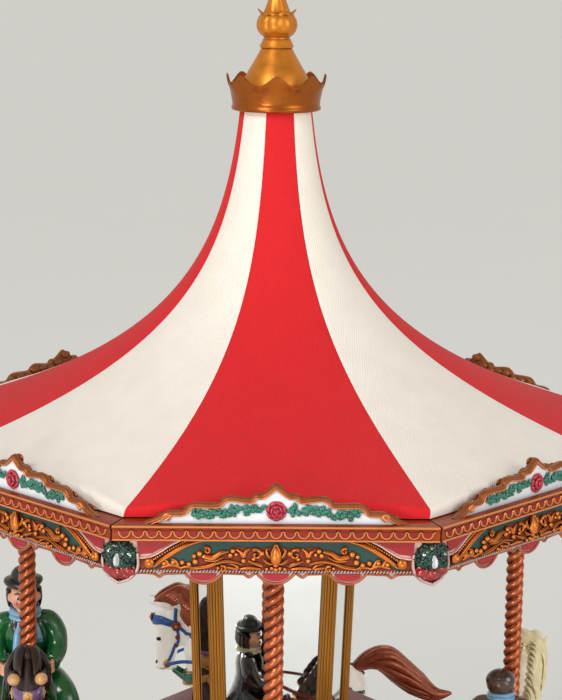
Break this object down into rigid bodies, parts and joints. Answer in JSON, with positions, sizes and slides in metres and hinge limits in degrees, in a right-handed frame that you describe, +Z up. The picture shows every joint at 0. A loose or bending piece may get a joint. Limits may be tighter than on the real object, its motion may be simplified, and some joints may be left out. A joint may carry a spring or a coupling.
{
  "type": "carousel music box",
  "caption": "Tabletop carousel music box: horses with riders rise and fall on twisted poles round a mirrored column, under a turning striped canopy",
  "frame": {"origin": "on the table under the centre of the base, the lowest point of the feet", "axes": "+Z up along the turning axis; -Y faces the viewer of the front canopy panel; +X to the right"},
  "size_m": [0.29, 0.29, 0.458],
  "materials": {
    "maroon_plastic": "gloss",
    "copper_resin": "satin metallic paint",
    "black_plastic": "matt",
    "rubber_feet": "matt",
    "steel": "satin",
    "grey_plastic": "matt",
    "gear_plastic": "natural acetal",
    "circuit_board": "gloss",
    "bush_brass": "satin",
    "red_plastic": "gloss",
    "deck_wood": "satin varnish",
    "cream_paint": "satin",
    "gold_paint": "satin metallic paint",
    "mirror": "polished",
    "roof_cloth": "twill, red and cream gores",
    "wreath_enamel": "glitter enamel",
    "lamp_glass": "clear",
    "copper_metal": "copper plate",
    "horse_paint": "gloss hand paint",
    "rider_paint": "gloss hand paint"
  },
  "bodies": {
    "base": {"base_shell": "maroon_plastic", "base_trim": "copper_resin", "base_cover": "black_plastic", "feet": "rubber_feet", "cover_screws": "steel", "mechanism_plate": "grey_plastic", "fixed_crown_gear": "gear_plastic", "gear_motor": "steel", "speaker": "black_plastic", "sound_board": "circuit_board", "dc_socket": "black_plastic", "idler_shaft": "steel", "main_bearing": "bush_brass"},
    "music_button": {"music_button": "red_plastic"},
    "volume_knob": {"volume_knob": "black_plastic"},
    "motor_pinion": {"motor_pinion": "bush_brass"},
    "idler": {"idler_gear": "gear_plastic"},
    "carousel": {"hub_shaft": "steel", "main_gear": "gear_plastic", "deck": "deck_wood", "deck_rim": "copper_resin", "hub_drum": "cream_paint", "hub_skirt": "maroon_plastic", "column_core": "grey_plastic", "column_posts": "gold_paint", "wide_mirrors": "mirror", "narrow_mirrors": "mirror", "ceiling": "cream_paint", "pole_bushes": "bush_brass", "crank_brackets": "grey_plastic", "roof_shell": "grey_plastic", "roof_cover": "roof_cloth", "corner_wreaths": "wreath_enamel", "lamps": "lamp_glass", "crown": "gold_paint", "finial": "gold_paint", "rounding_board_1": "copper_resin", "rounding_board_2": "copper_resin", "rounding_board_3": "copper_resin", "rounding_board_4": "copper_resin", "rounding_board_5": "copper_resin", "rounding_board_6": "copper_resin", "rounding_board_7": "copper_resin", "rounding_board_8": "copper_resin"},
    "crank_1": {"crank_1": "gear_plastic"},
    "crank_2": {"crank_2": "gear_plastic"},
    "crank_3": {"crank_3": "gear_plastic"},
    "crank_4": {"crank_4": "gear_plastic"},
    "rider_pole_1": {"pole_1": "copper_metal", "horse_1": "horse_paint", "rider_1": "rider_paint"},
    "rider_pole_2": {"pole_2": "copper_metal", "horse_2": "horse_paint", "rider_2": "rider_paint"},
    "rider_pole_3": {"pole_3": "copper_metal", "horse_3": "horse_paint", "rider_3": "rider_paint"},
    "rider_pole_4": {"pole_4": "copper_metal", "horse_4": "horse_paint", "rider_4": "rider_paint"}
  },
  "joints": [
    {"name": "carousel_spin", "type": "hinge", "parent": "base", "child": "carousel", "pos_m": [0, 0, 0.05], "axis": [0, 0, 1], "continuous": true},
    {"name": "idler_spin", "type": "hinge", "parent": "base", "child": "idler", "pos_m": [-0.03383, -0.01231, 0.02], "axis": [0, 0, 1], "continuous": true},
    {"name": "motor_pinion_spin", "type": "hinge", "parent": "base", "child": "motor_pinion", "pos_m": [-0.05262, -0.01915, 0.02], "axis": [0, 0, 1], "continuous": true},
    {"name": "music_button_press", "type": "slide", "parent": "base", "child": "music_button", "axis": [-0.309, -0.9511, 0], "range_m": [0, 0.0015], "stiffness_N_per_m": 400, "springref_m": -0.001},
    {"name": "volume_turn", "type": "hinge", "parent": "base", "child": "volume_knob", "pos_m": [-0.04326, 0.13315, 0.02], "axis": [-0.309, 0.9511, 0], "range_deg": [-140, 140]},
    {"name": "crank_1_spin", "type": "hinge", "parent": "carousel", "child": "crank_1", "pos_m": [0, -0.09, 0.048], "axis": [0, -1, 0], "continuous": true},
    {"name": "crank_2_spin", "type": "hinge", "parent": "carousel", "child": "crank_2", "pos_m": [0.09, 0, 0.048], "axis": [1, 0, 0], "continuous": true},
    {"name": "crank_3_spin", "type": "hinge", "parent": "carousel", "child": "crank_3", "pos_m": [0, 0.09, 0.048], "axis": [0, 1, 0], "continuous": true},
    {"name": "crank_4_spin", "type": "hinge", "parent": "carousel", "child": "crank_4", "pos_m": [-0.09, 0, 0.048], "axis": [-1, 0, 0], "continuous": true},
    {"name": "pole_1_rise", "type": "slide", "parent": "carousel", "child": "rider_pole_1", "axis": [0, 0, 1], "range_m": [-0.00041, 0.02359]},
    {"name": "pole_2_rise", "type": "slide", "parent": "carousel", "child": "rider_pole_2", "axis": [0, 0, 1], "range_m": [-0.00161, 0.02239]},
    {"name": "pole_3_rise", "type": "slide", "parent": "carousel", "child": "rider_pole_3", "axis": [0, 0, 1], "range_m": [-0.00161, 0.02239]},
    {"name": "pole_4_rise", "type": "slide", "parent": "carousel", "child": "rider_pole_4", "axis": [0, 0, 1], "range_m": [-0.02239, 0.00161]}
  ],
  "couplings": [
    {"joint": "idler_spin", "follows": "carousel_spin", "ratio": -5},
    {"joint": "motor_pinion_spin", "follows": "carousel_spin", "ratio": 20},
    {"joint": "crank_1_spin", "follows": "carousel_spin", "ratio": -3},
    {"joint": "crank_2_spin", "follows": "carousel_spin", "ratio": -3},
    {"joint": "crank_3_spin", "follows": "carousel_spin", "ratio": -3},
    {"joint": "crank_4_spin", "follows": "carousel_spin", "ratio": -3}
  ]
}
